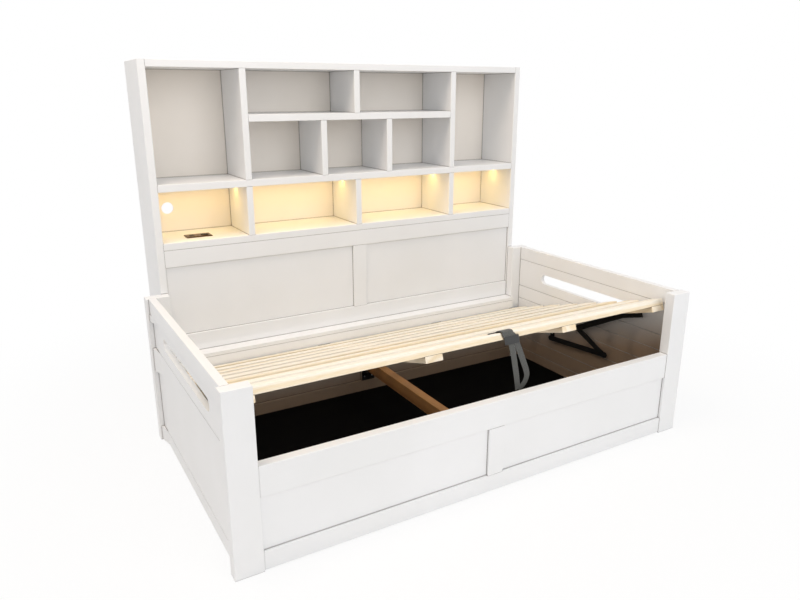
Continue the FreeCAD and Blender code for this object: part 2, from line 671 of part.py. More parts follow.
arms = []
arm_pins = []
wall_plates = []
wall_pins = []
SLOPE = "atan2(arm_drop + " + ARM_AXIS + "; arm_knee - arm_reach)"
SLOPE_LONG = f"sqrt((arm_drop + {ARM_AXIS}) ^ 2 + (arm_knee - arm_reach) ^ 2)"
for hand in ("left", "right"):
    # The arm: a flat bar with a flange under the end cross bar, bent down to its pivot.
    arm_across = both((ARM_IN, ARM_OUT))[hand]
    arm_width = f"{arm_across[1]} - ({arm_across[0]})"
    straight = block(f"arm_{hand}_straight", arm_across, ("-arm_front", "-arm_knee"),
                     (f"{BAR_LOW} - arm_tall", BAR_LOW))
    flange = block(f"arm_{hand}_flange", both((f"{ARM_IN} - arm_flange", ARM_IN))[hand],
                   ("-arm_front", "-arm_knee"), (f"{BAR_LOW} - plate_thick", BAR_LOW))
    knee = rod(f"arm_{hand}_knee", "x", (arm_across[0], "-arm_knee", ARM_AXIS), arm_width,
               "arm_tall / 2")
    slope = block(f"arm_{hand}_slope_bar", arm_across, ("0", SLOPE_LONG), centred("0", "arm_tall"))
    slope_end = rod(f"arm_{hand}_slope_end", "x", (arm_across[0], SLOPE_LONG, "0"), arm_width,
                    "arm_tall / 2")
    bent = group(f"arm_{hand}_slope", [fused(f"arm_{hand}_slope_form", slope, slope_end)])
    bent.setExpression("Placement", bound(
        f"placement(vector(0; -arm_knee; {ARM_AXIS}); rotation(vector(1; 0; 0); -{SLOPE}))"))
    pin_hole = bore(f"arm_{hand}_bore", arm_across, "-arm_reach", "-arm_drop", "pivot_radius")
    flange_holes = [screw_hole(f"arm_{hand}_screw_hole_{index}", "z", spot)
                    for index, spot in enumerate(arm_spots[hand])]
    arms.append(cut(f"arm_{hand}", fused(f"arm_{hand}_form", straight, flange, knee, bent),
                    pin_hole, *flange_holes))

    # Its pin: head inside, a washer between arm and link, the shank riveted flush.
    pin_across = both((ARM_IN, UPPER_LINK_OUT))[hand]
    head_across = both((f"{ARM_IN} - head_thick", ARM_IN))[hand]
    washer_across = both((ARM_OUT, f"{UPPER_LINK_IN} - leaf_clear"))[hand]
    arm_pins.append(fused(f"arm_pin_{hand}", *[
        rod(f"arm_pin_{hand}_{part}", "x", (across[0], "-arm_reach", "-arm_drop"),
            f"{across[1]} - ({across[0]})", radius)
        for part, across, radius in (("shank", pin_across, "pivot_radius"),
                                     ("head", head_across, "pivot_head"),
                                     ("washer", washer_across, "pivot_head"))]))

    # Upper link, from the arm's pivot to the lower link's stud.
    upper_across = both((UPPER_LINK_IN, UPPER_LINK_OUT))[hand]
    link_long = f"sqrt({LINK_RUN} ^ 2 + {LINK_RISE} ^ 2)"
    upper = fused(f"upper_link_{hand}_form",
                  *pivoted_bar(f"upper_link_{hand}", upper_across, link_long))
    upper = cut(f"upper_link_{hand}", upper,
                bore(f"upper_link_{hand}_bore", upper_across, "0", "0", "pivot_radius + running_fit"),
                bore(f"upper_link_{hand}_loose_bore", upper_across, link_long, "0",
                     "pivot_radius + loose_fit"))
    upper.setExpression("Placement", bound(
        f"placement(vector(0; {ARM_PIVOT[0]}; {ARM_PIVOT[1]});"
        f" rotation(vector(1; 0; 0); atan2({LINK_RISE}; {LINK_RUN})))"))
    node(upper, f"upper_link_{hand}")

    # Lower link, from the wall pivot; its stud passes through the upper link and is headed.
    lower_across = both((LOWER_LINK_IN, LOWER_LINK_OUT))[hand]
    stud_across = both((f"{UPPER_LINK_IN} - leaf_clear", LOWER_LINK_IN))[hand]
    stud_head = both((f"{UPPER_LINK_IN} - leaf_clear - stud_head_thick",
                      f"{UPPER_LINK_IN} - leaf_clear"))[hand]
    lower = fused(f"lower_link_{hand}_form",
                  *pivoted_bar(f"lower_link_{hand}", lower_across, "lower_link_long"),
                  *[rod(f"lower_link_{hand}_{part}", "x", (across[0], "lower_link_long", "0"),
                        f"{across[1]} - ({across[0]})", radius)
                    for part, across, radius in (("stud", stud_across, "pivot_radius"),
                                                 ("stud_head", stud_head, "pivot_head"))])
    lower = cut(f"lower_link_{hand}", lower,
                bore(f"lower_link_{hand}_bore", lower_across, "0", "0", "pivot_radius + running_fit"))
    lower.setExpression("Placement", bound(
        f"placement(vector(0; {WALL_PIVOT[0]}; {WALL_PIVOT[1]});"
        f" rotation(vector(1; 0; 0); 180 - lower_link_tilt))"))
    node(lower, f"lower_link_{hand}")

    # Wall plate on the side planks, with the pin that carries the lower link.
    plate_across = both((WALL_PLATE_IN, SIDE_IN))[hand]
    plate_low = f"{WALL_PIVOT[1]} - link_wide / 2"
    plate = block(f"wall_plate_{hand}_blank", plate_across, centred(WALL_PIVOT[0], "wall_plate_wide"),
                  (plate_low, f"{plate_low} + wall_plate_high"))
    plate_holes = [screw_hole(f"wall_plate_{hand}_hole_{index}", "x", spot)
                   for index, spot in enumerate(wall_spots[hand])]
    wall_plates.append(cut(f"wall_plate_{hand}", plate,
                           bore(f"wall_plate_{hand}_bore", plate_across, *WALL_PIVOT, "pivot_radius"),
                           *plate_holes))
    shank = both((f"{LOWER_LINK_IN} - leaf_clear", SIDE_IN))[hand]
    head = both((f"{LOWER_LINK_IN} - leaf_clear - head_thick",
                 f"{LOWER_LINK_IN} - leaf_clear"))[hand]
    washer = both((f"{LOWER_LINK_OUT} + leaf_clear", WALL_PLATE_IN))[hand]
    wall_pins.append(fused(f"wall_pin_{hand}", *[
        rod(f"wall_pin_{hand}_{part}", "x", (across[0], *WALL_PIVOT),
            f"{across[1]} - ({across[0]})", radius)
        for part, across, radius in (("shank", shank, "pivot_radius"), ("head", head, "pivot_head"),
                                     ("washer", washer, "pivot_head"))]))
node(lifted(group("lift_arms", arms)), "lift_arms")
node(lifted(group("arm_pins", arm_pins)), "arm_pins")
node(group("wall_plates", wall_plates), "wall_plates")
node(group("wall_pins", wall_pins), "wall_pins")

# ---------------------------------------------------------------- screws
frame_screws = [screw(f"hinge_rail_screw_{index}", "y", spot, 1)
                for index, spot in enumerate(fixed_leaf_spots)]
frame_screws += [screw(f"hanger_front_screw_{index}", "y", spot, -1)
                 for index, spot in enumerate(hanger_spots["front"])]
frame_screws += [screw(f"hanger_rear_screw_{index}", "y", spot, 1)
                 for index, spot in enumerate(hanger_spots["rear"])]
frame_screws += [screw(f"wall_screw_{hand}_{index}", "x", spot, -1 if hand == "left" else 1)
                 for hand, spots in wall_spots.items() for index, spot in enumerate(spots)]
node(group("frame_screws", frame_screws), "frame_screws")
platform_screws = [screw(f"hinge_platform_screw_{index}", "y", spot, -1)
                   for index, spot in enumerate(moving_leaf_spots)]
platform_screws += [screw(f"arm_screw_{hand}_{index}", "z", spot, 1)
                    for hand, spots in arm_spots.items() for index, spot in enumerate(spots)]
node(lifted(group("platform_screws", platform_screws)), "platform_screws")

# ---------------------------------------------------------------- pull strap
# Webbing wrapped round the strip of wood before the slot, then hanging as a loop.
wrap_inner_front = f"{EDGE_FRONT} - strap_clear"
wrap_inner_back = f"{EDGE_FRONT} + strap_slot_back - strap_slot_wide / 2 + strap_clear"
wrap_width = centred("wrap_x", "wrap_wide")
outer_wrap = block("wrap_outer", wrap_width,
                   (f"{wrap_inner_front} - strap_thick", f"{wrap_inner_back} + strap_thick"),
                   (f"{SLAT_LOW} - strap_clear - strap_thick", f"{SLAT_TOP} + strap_clear + strap_thick"))
inner_wrap = block("wrap_inner", ("wrap_x - wrap_wide", "wrap_x + wrap_wide"),
                   (wrap_inner_front, wrap_inner_back),
                   (f"{SLAT_LOW} - strap_clear", f"{SLAT_TOP} + strap_clear"))
wrap = lifted(cut("strap_wrap", outer_wrap, inner_wrap))

WRAP_CORNER = (f"({wrap_inner_front} - strap_thick)", f"({SLAT_LOW} - strap_clear - strap_thick)")
STRAND_Y = (f"({HINGE_Y} + {WRAP_CORNER[0]} * cos(lift_angle * 1deg)"
            f" + {WRAP_CORNER[1]} * sin(lift_angle * 1deg))")
STRAND_TOP = (f"({HINGE_Z} - {WRAP_CORNER[0]} * sin(lift_angle * 1deg)"
              f" + {WRAP_CORNER[1]} * cos(lift_angle * 1deg))")


def webbing(name, start, end):
    """A flat run of webbing between two points (x, drop below the wrap), with round ends."""
    run = f"({end[0]} - ({start[0]}))"
    fall = f"({end[1]} - ({start[1]}))"
    length = f"sqrt({run} ^ 2 + {fall} ^ 2)"
    strip = block(f"{name}_strip", ("0", length), ("0", "strand_thick"), centred("0", "webbing_wide"))
    foot = rod(f"{name}_foot", "y", (length, "0", "0"), "strand_thick", "webbing_wide / 2")
    piece = fused(name, strip, foot)
    piece.setExpression("Placement", bound(
        f"placement(vector({start[0]}; {STRAND_Y}; {STRAND_TOP} - ({start[1]}));"
        f" rotation(vector(0; 1; 0); atan2({fall}; {run})))"))
    return piece


LOOP_FOOT = ("strand_left_foot", "strand_drop - webbing_wide / 2")
LOOP_BEND = ("strand_right_bend", "strand_bend_drop")
strands = [webbing("strand_left", ("strand_left_top", "0"), LOOP_FOOT),
           webbing("strand_right", ("strand_right_top", "0"), LOOP_BEND),
           webbing("strand_return", LOOP_BEND, LOOP_FOOT)]
node(fused("pull_strap", wrap, *strands), "pull_strap")

keeper_height = (f"{STRAND_TOP} - keeper_drop - keeper_high", f"{STRAND_TOP} - keeper_drop")
keeper_outer = block("keeper_outer", ("keeper_left", "keeper_right"),
                     (f"{STRAND_Y} - strap_clear - keeper_thick",
                      f"{STRAND_Y} + strand_thick + strap_clear + keeper_thick"), keeper_height)
keeper_inner = block("keeper_inner", ("keeper_left + keeper_thick", "keeper_right - keeper_thick"),
                     (f"{STRAND_Y} - strap_clear", f"{STRAND_Y} + strand_thick + strap_clear"),
                     (f"{keeper_height[0]} - {PAST}", f"{keeper_height[1]} + {PAST}"))
node(cut("strap_keeper", keeper_outer, keeper_inner), "strap_keeper")

# ---------------------------------------------------------------- bookcase
CASE_SPAN = (f"-{CASE_IN}", CASE_IN)
CASE_DEPTH = (CASE_FRONT, CASE_BACK_IN)
BAY_IN = (f"-{BAY_HALF}", BAY_HALF)
for hand, across in both((CASE_IN, CASE_HALF)).items():
    board(f"case_side_{hand}", across, (CASE_FRONT, BACK), ("0", "case_high"), "yz")
board("case_top", CASE_SPAN, (CASE_FRONT, BACK), (CASE_TOP_LOW, "case_high"), "x")
board("upper_shelf", BAY_IN, CASE_DEPTH, ("upper_shelf_low", UPPER_SHELF_TOP), "x")
board("main_shelf", CASE_SPAN, CASE_DEPTH, ("main_shelf_low", MAIN_SHELF_TOP), "x")
board("lower_shelf", CASE_SPAN, CASE_DEPTH, ("lower_shelf_low", LOWER_SHELF_TOP), "x")
board("case_base", CASE_SPAN, CASE_DEPTH, ("base_rise", "base_rise + partition_thick"), "x")


def partition(name, across, low, high):
    """An upright board of the bookcase between two shelves."""
    blank = block(f"{name}_blank", across, CASE_DEPTH, (low, high))
    return eased(name, blank, "z")


OUTER_PARTITION = both((BAY_HALF, f"{BAY_HALF} + partition_thick"))
CENTRE_PARTITION = centred("0", "partition_thick")
MIDDLE_PARTITION = both(("middle_cell / 2", "middle_cell / 2 + partition_thick"))
tall_partitions = [partition(f"tall_partition_{hand}", across, MAIN_SHELF_TOP, CASE_TOP_LOW)
                   for hand, across in OUTER_PARTITION.items()]
middle_partitions = [partition(f"middle_partition_{hand}", across, MAIN_SHELF_TOP, "upper_shelf_low")
                     for hand, across in MIDDLE_PARTITION.items()]
low_spans = {"left": OUTER_PARTITION["left"], "centre": CENTRE_PARTITION,
             "right": OUTER_PARTITION["right"]}
lower_partitions = [partition(f"lower_partition_{hand}", across, LOWER_SHELF_TOP, "main_shelf_low")
                    for hand, across in low_spans.items()]
node(group("tall_partitions", tall_partitions), "tall_partitions")
node(partition("top_partition", CENTRE_PARTITION, UPPER_SHELF_TOP, CASE_TOP_LOW), "top_partition")
node(group("middle_partitions", middle_partitions), "middle_partitions")
node(group("lower_partitions", lower_partitions), "lower_partitions")

back_panel = block("case_back_blank", CASE_SPAN, (CASE_BACK_IN, BACK), ("base_rise", CASE_TOP_LOW))
CABLE_HOLE_X = f"-({CASE_IN} - cable_hole_inset)"
cable_hole = rod("cable_hole", "y", (CABLE_HOLE_X, f"{CASE_BACK_IN} - {PAST}", "cable_hole_z"),
                 f"back_thick + {2 * PAST}", "cable_hole_radius")
node(cut("case_back", back_panel, cable_hole), "case_back")

APRON_DEPTH = (CASE_FRONT, f"{CASE_FRONT} + apron_thick")
board("apron_rail", CASE_SPAN, APRON_DEPTH, (APRON_LOW, "lower_shelf_low"), "x")
board("lower_stile", centred("0", "stile_wide"), APRON_DEPTH, (LOWER_PANEL_LOW, APRON_LOW), "z")
LOWER_RAIL_LOW = f"{LOWER_PANEL_LOW} - lower_rail_high"
board("lower_rail", CASE_SPAN, APRON_DEPTH, (LOWER_RAIL_LOW, LOWER_PANEL_LOW), "x")
PANEL_FACE = f"{CASE_FRONT} + lower_panel_set"
PANEL_DEPTH = (PANEL_FACE, f"{PANEL_FACE} + panel_thick")
lower_panels = [block(f"lower_panel_{hand}", across, PANEL_DEPTH, (LOWER_PANEL_LOW, APRON_LOW))
                for hand, across in both(("stile_wide / 2", CASE_IN)).items()]
node(group("lower_panels", lower_panels), "lower_panels")

# ---------------------------------------------------------------- lights and socket
LIGHT_Y = centred(f"{CASE_FRONT} + light_back", "light_wide")
LIGHT_LOW = "main_shelf_low - light_high"
CUBBIES = {"far_left": (f"-{CASE_IN}", f"-({BAY_HALF} + partition_thick)"),
           "left": (f"-{BAY_HALF}", "-partition_thick / 2"),
           "right": ("partition_thick / 2", BAY_HALF),
           "far_right": (f"{BAY_HALF} + partition_thick", CASE_IN)}
channels = []
diffusers = []
for place, across in CUBBIES.items():
    outer = block(f"channel_{place}_outer", across, LIGHT_Y, (LIGHT_LOW, "main_shelf_low"))
    inside = (f"{LIGHT_Y[0]} + light_wall", f"{LIGHT_Y[1]} - light_wall")
    groove = block(f"channel_{place}_groove", (f"{across[0]} - {PAST}", f"{across[1]} + {PAST}"), inside,
                   (f"{LIGHT_LOW} - {PAST}", "main_shelf_low - light_wall"))
    channels.append(cut(f"channel_{place}", outer, groove))
    diffusers.append(block(f"diffuser_{place}", across, inside, (LIGHT_LOW, f"{LIGHT_LOW} + light_wall")))
node(group("light_channels", channels), "light_channels")
node(group("light_diffusers", diffusers), "light_diffusers")

SOCKET_X = f"(socket_inset - {CASE_IN})"
SOCKET_Y = f"({CASE_FRONT} + socket_back)"
SOCKET_TOP = f"({LOWER_SHELF_TOP} + socket_thick)"
board("socket_plate", centred(SOCKET_X, "socket_long"), centred(SOCKET_Y, "socket_deep"),
      (LOWER_SHELF_TOP, SOCKET_TOP))
ROUND_PORT_X = f"({SOCKET_X} + socket_long / 2 - port_radius - port_inset)"
FLAT_PORT_X = f"{SOCKET_X} - flat_port_inset"
ports = [rod("round_port", "z", (ROUND_PORT_X, SOCKET_Y, SOCKET_TOP), "port_rise", "port_radius")]
for row, way in (("front", "-"), ("rear", "+")):
    ports.append(block(f"flat_port_{row}", centred(FLAT_PORT_X, "flat_port_wide"),
                       centred(f"{SOCKET_Y} {way} flat_port_out", "flat_port_deep"),
                       (SOCKET_TOP, f"{SOCKET_TOP} + flat_port_rise")))
node(group("socket_ports", ports), "socket_ports")

# ---------------------------------------------------------------- checks and export
doc.recompute()
failed = [item.Name for item in doc.Objects if {"Invalid", "Error"} & set(item.State)]
if failed:
    raise RuntimeError(f"features that failed: {failed}")
for piece in nodes:
    if piece.Shape.isNull() or not piece.Shape.isValid():
        raise RuntimeError(f"{piece.Label} has no valid shape")

os.makedirs("parts", exist_ok=True)
for piece in nodes:
    piece.Shape.exportStep(f"parts/{piece.Label}.step")
whole = Part.makeCompound([piece.Shape for piece in nodes]).BoundBox
print(f"{len(nodes)} sub-parts, {whole.XLength:.1f} x {whole.YLength:.1f} x {whole.ZLength:.1f} mm")
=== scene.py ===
# %% [markdown]
# # A daybed with a bookcase along its back and a lift-up slatted platform
# The bed is a white painted frame with slotted ends. A bookcase stands along its back, with a row of lit
# cubbies, and pine slats lift on hinges and side links over a black storage box. The boards, hinges and
# links come from the CAD model as a fixed frame. This lesson adds what solids can't show: paint, pine, steel
# and webbing, the pull strap as real woven tape, and the warm strip lights, set in a plain white studio.

# %% Load the frame
import math

import bpy
import numpy as np
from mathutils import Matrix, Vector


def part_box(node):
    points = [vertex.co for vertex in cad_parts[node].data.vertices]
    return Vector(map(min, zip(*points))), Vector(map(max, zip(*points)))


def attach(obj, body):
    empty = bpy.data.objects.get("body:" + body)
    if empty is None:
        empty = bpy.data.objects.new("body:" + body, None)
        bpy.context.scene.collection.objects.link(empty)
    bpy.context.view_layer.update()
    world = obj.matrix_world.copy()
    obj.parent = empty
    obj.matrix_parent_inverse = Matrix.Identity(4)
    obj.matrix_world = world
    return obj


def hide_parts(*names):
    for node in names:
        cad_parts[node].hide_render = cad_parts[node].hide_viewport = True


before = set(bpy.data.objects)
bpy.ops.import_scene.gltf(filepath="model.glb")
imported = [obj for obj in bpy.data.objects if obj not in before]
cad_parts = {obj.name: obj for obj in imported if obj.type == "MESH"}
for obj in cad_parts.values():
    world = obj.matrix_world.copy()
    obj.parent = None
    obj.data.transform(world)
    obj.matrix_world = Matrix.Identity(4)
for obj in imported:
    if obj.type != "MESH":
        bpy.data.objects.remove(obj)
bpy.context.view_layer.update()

# %% [markdown]
# ## The camera
# The photograph was taken from the front left, a little above the bookcase's lit row. Its place came from the
# bed's own right angles: the long edges, the deep edges and the uprights each run to a vanishing point. A
# focal length of 683 pixels in a picture 800 pixels wide is a lens of about 31 mm on a 36 mm sensor.

# %% Place the camera
PICTURE_WIDE = 800
FOCAL_PIXELS = 683.0
SENSOR_MM = 36.0
CAMERA_PLACE = (-1.4632, -2.4702, 1.4501)
YAW, PITCH, ROLL = 30.321, 16.861, 0.019

camera_data = bpy.data.cameras.new("studio_camera")
camera_data.sensor_width = SENSOR_MM
camera_data.lens = SENSOR_MM * FOCAL_PIXELS / PICTURE_WIDE
camera = bpy.data.objects.new("studio_camera", camera_data)
camera.location = CAMERA_PLACE
camera.rotation_euler = (math.radians(90 - PITCH), math.radians(ROLL), math.radians(-YAW))
bpy.context.scene.collection.objects.link(camera)
bpy.context.scene.camera = camera
print(f"lens {camera_data.lens:.2f} mm")

# %% [markdown]
# ## Small helpers for materials
# A material is a handful of shader nodes. One helper adds any node with its settings and its links, one turns
# a colour as a painter writes it, in hex, into the linear light values that the shaders work in, and one
# starts a material. Nodes number their sockets: a mix of colours has its amount at 0, its two colours at 6
# and 7 and its result at 2, and a map range has its value at 0, its input span at 1 and 2 and its output span
# at 3 and 4, each span 0 to 1 unless it is set.


# %% Helpers for colours and nodes
def linear(hex_colour):
    """sRGB hex to linear RGBA: each channel c becomes c/12.92 below 0.04045, else ((c+0.055)/1.055)^2.4."""
    channels = np.array([int(hex_colour[i:i + 2], 16) for i in (1, 3, 5)]) / 255
    light = np.where(channels <= 0.04045, channels / 12.92, ((channels + 0.055) / 1.055) ** 2.4)
    return (*(float(value) for value in light), 1.0)


def add(tree, kind, inputs=None, **settings):
    """Adds one node. Inputs are keyed by socket name or number, each a plain value or a socket to link."""
    made = tree.nodes.new(kind)
    for name, value in settings.items():
        setattr(made, name, value)
    for key, value in (inputs or {}).items():
        if isinstance(value, bpy.types.NodeSocket):
            tree.links.new(value, made.inputs[key])
        else:
            made.inputs[key].default_value = value
    return made


def start_material(name, **uniform):
    """A new material with one Principled shader, whose uniform sockets are set straight on it."""
    material = bpy.data.materials.new(name)
    material.use_nodes = True
    tree = material.node_tree
    tree.nodes.clear()
    shader = add(tree, "ShaderNodeBsdfPrincipled")
    for socket, value in uniform.items():
        shader.inputs[socket.replace("_", " ")].default_value = value
    output = add(tree, "ShaderNodeOutputMaterial")
    tree.links.new(shader.outputs[0], output.inputs[0])
    return material, tree, shader


print("mid grey as light:", [round(value, 3) for value in linear("#808080")])

# %% [markdown]
# ## Shade in the joints and inside the box
# Two things darken a board by its place, and both are painted shade. In the thin joints between boards light
# is lost, which a picture with 4 mm pixels would miss, so an ambient occlusion node finds the faces that
# stand within a few millimetres of another and the colour is multiplied down there. And below the raised
# platform the boards of the storage box lie in a warm brown shade, which is matched as painted shade: the
# paint takes a brown tint that grows with the depth under the platform's plane. One picture doesn't show
# why, so the brown is matched and not explained: the paint takes a tint that grows with the depth under the
# platform's plane.

# %% Places that darken
# The box and the platform's plane, which bound the brown painted shade.
BOX_HALF, BOX_FRONT, BOX_REAR = 0.9705, -0.60, 0.3635
LID_RISE, LID_HIGH, LID_FADE = 0.311, 0.406, 0.25
OPEN_SKY, SHUT_SKY = 0.97, 0.55


def painted_joint_shade(tree, millimetres, strength):
    """The amount of painted shade: 0 on open faces, rising to strength where another face stands within that
    distance, as in a joint.
    """
    sky = add(tree, "ShaderNodeAmbientOcclusion", {"Distance": millimetres / 1000}, samples=8).outputs["AO"]
    return add(tree, "ShaderNodeMapRange", {0: sky, 1: OPEN_SKY, 2: SHUT_SKY, 4: strength}).outputs[0]


def painted_box_shade(tree, place):
    """The amount of brown painted shade: depth under the plane z = LID_HIGH - LID_RISE * y, smoothed to 0..1
    and kept within the box's walls.
    """
    split = add(tree, "ShaderNodeSeparateXYZ", {0: place}).outputs
    plane = add(tree, "ShaderNodeMath", {0: split["Y"], 1: -LID_RISE, 2: LID_HIGH},
                operation="MULTIPLY_ADD").outputs[0]
    under = add(tree, "ShaderNodeMath", {0: plane, 1: split["Z"]}, operation="SUBTRACT").outputs[0]
    depth = add(tree, "ShaderNodeMapRange", {0: under, 1: 0.0, 2: LID_FADE},
                interpolation_type="SMOOTHSTEP").outputs[0]
    wide = add(tree, "ShaderNodeMath", {0: split["X"]}, operation="ABSOLUTE").outputs[0]
    for spot, limit, way in ((wide, BOX_HALF, "LESS_THAN"), (split["Y"], BOX_FRONT, "GREATER_THAN"),
                             (split["Y"], BOX_REAR, "LESS_THAN")):
        within = add(tree, "ShaderNodeMath", {0: spot, 1: limit}, operation=way).outputs[0]
        depth = add(tree, "ShaderNodeMath", {0: depth, 1: within}, operation="MULTIPLY").outputs[0]
    return depth


print(f"the box's tint is full {LID_FADE * 1000:.0f} mm below the platform's plane")

# %% [markdown]
# ## Satin white paint
# The frame and the bookcase are pine and MDF boards, primed, sanded and sprayed with a satin alkyd paint. It
# could be one flat white, but a sprayed board has a fine orange peel, and under it the grain of a solid board
# shows as faint long ridges. So the paint takes a noise stretched along the board for the ridges, a round
# noise for the peel, and a slow drift in tone. The real peel is about 1 mm, too fine for a picture where
# a pixel covers 4 mm, so it is drawn at 5 mm. The bookcase's back panel takes warmer tones, as painted warm
# light.

# %% Paint along each direction
PAINT_TONES = ("#F1F2F4", "#ECEDEE")
PAINTED_WARM_LIGHT_TONES = ("#F4EEE7", "#EFE8DF")
# Brown painted shade inside the storage box.
BOX_SHADE_TINT = "#AB937D"
# Painted shade in the joints: its colour, reach and strength.
JOINT_SHADE_TINT = "#77706A"
JOINT_MM, JOINT_SHADE = 5.0, 0.7
PEEL_MM = 5.0
RIDGE_MM = 7.0
RIDGES = 0.8
RIDGE_TONE = 0.35
DRIFT_MM = 420.0
PAINT_ROUGH = (0.38, 0.5)
STRETCH = {"x": (0.06, 1, 1), "y": (1, 0.06, 1), "z": (1, 1, 0.06), "flat": (1, 1, 1)}


def per_metre(millimetres):
    """A noise scale, in repeats per metre, for features of that size."""
    return 1000.0 / millimetres


def satin_paint(name, along, ridges, tones=PAINT_TONES):
    """Satin paint over a board whose grain runs along one axis. Height = peel + ridges * stretched noise."""
    material, tree, shader = start_material(name, IOR=1.5, Coat_Weight=0.08, Coat_Roughness=0.25)
    place = add(tree, "ShaderNodeTexCoord").outputs["Object"]
    grain_place = add(tree, "ShaderNodeMapping", {"Vector": place, "Scale": STRETCH[along]}).outputs[0]
    ridge = add(tree, "ShaderNodeTexNoise", {"Vector": grain_place, "Scale": per_metre(RIDGE_MM),
                                             "Detail": 4.0, "Roughness": 0.6}).outputs[0]
    peel = add(tree, "ShaderNodeTexNoise", {"Vector": place, "Scale": per_metre(PEEL_MM),
                                            "Detail": 2.0}).outputs[0]
    drift = add(tree, "ShaderNodeTexNoise", {"Vector": place, "Scale": per_metre(DRIFT_MM),
                                             "Detail": 3.0}).outputs[0]
    tone = add(tree, "ShaderNodeMapRange", {0: drift, 1: 0.3, 2: 0.7}).outputs[0]
    streak = add(tree, "ShaderNodeMath", {0: ridge, 1: RIDGE_TONE * ridges}, operation="MULTIPLY").outputs[0]
    mixed = add(tree, "ShaderNodeMath", {0: tone, 1: streak}, operation="ADD", use_clamp=True).outputs[0]
    colour = add(tree, "ShaderNodeMix", {0: mixed, 6: linear(tones[0]), 7: linear(tones[1])},
                 data_type="RGBA").outputs[2]
    # The colour is multiplied by painted shade: brown inside the box, grey in the joints.
    for amount, tint in ((painted_box_shade(tree, place), BOX_SHADE_TINT),
                         (painted_joint_shade(tree, JOINT_MM, JOINT_SHADE), JOINT_SHADE_TINT)):
        colour = add(tree, "ShaderNodeMix", {0: amount, 6: colour, 7: linear(tint)},
                     data_type="RGBA", blend_type="MULTIPLY").outputs[2]
    tree.links.new(colour, shader.inputs["Base Color"])
    gloss = add(tree, "ShaderNodeMapRange", {0: peel, 1: 0.3, 2: 0.7, 3: PAINT_ROUGH[0], 4: PAINT_ROUGH[1]})
    tree.links.new(gloss.outputs[0], shader.inputs["Roughness"])
    height = add(tree, "ShaderNodeMath", {0: ridge, 1: ridges, 2: peel},
                 operation="MULTIPLY_ADD").outputs[0]
    bump = add(tree, "ShaderNodeBump", {"Height": height, "Strength": 0.12, "Distance": 0.0006}).outputs[0]
    tree.links.new(bump, shader.inputs["Normal"])
    return material


paint = {"x": satin_paint("satin_paint_on_long_boards", "x", RIDGES),
         "y": satin_paint("satin_paint_on_deep_boards", "y", RIDGES),
         "z": satin_paint("satin_paint_on_uprights", "z", RIDGES),
         "flat": satin_paint("satin_paint_on_flat_panels", "flat", 0.0),
         # The back panels' warmer tones are painted warm light.
         "warm": satin_paint("satin_paint_on_back_panels", "flat", 0.0, PAINTED_WARM_LIGHT_TONES)}
print("paints:", ", ".join(material.name for material in paint.values()))

# %% [markdown]
# ## Bare pine
# The slats and bars are planed pine without a finish, and the beam and ledgers are a browner pine. Pine has
# pale early wood and darker late wood, and where a board is cut nearly along the rings they open out into
# broad bands that run along it and wander a little. A picture of rings could be painted, but a wave
# stretched along the board and bent by noise gives it in three dimensions, so end grain and faces agree. Each
# slat is sawn from another plank, so its number, from its place across the platform, picks a tone and shifts
# the pattern. The wave node makes 20 / (2 pi) bands per unit at scale 1, so its scale is 2 pi / 20 of the
# bands per metre.

# %% Pine
LIFT = math.radians(17.3)
SLAT_PITCH_MM = 130.0
BANDS_MM = 56.55
FIBRE_MM = 2.5
# Painted shade in the pine's joints and slots: its reach, strength and colour.
PINE_JOINT_MM, PINE_JOINT_SHADE, PINE_JOINT_SHADE_TINT = 8.0, 0.9, "#6B5236"


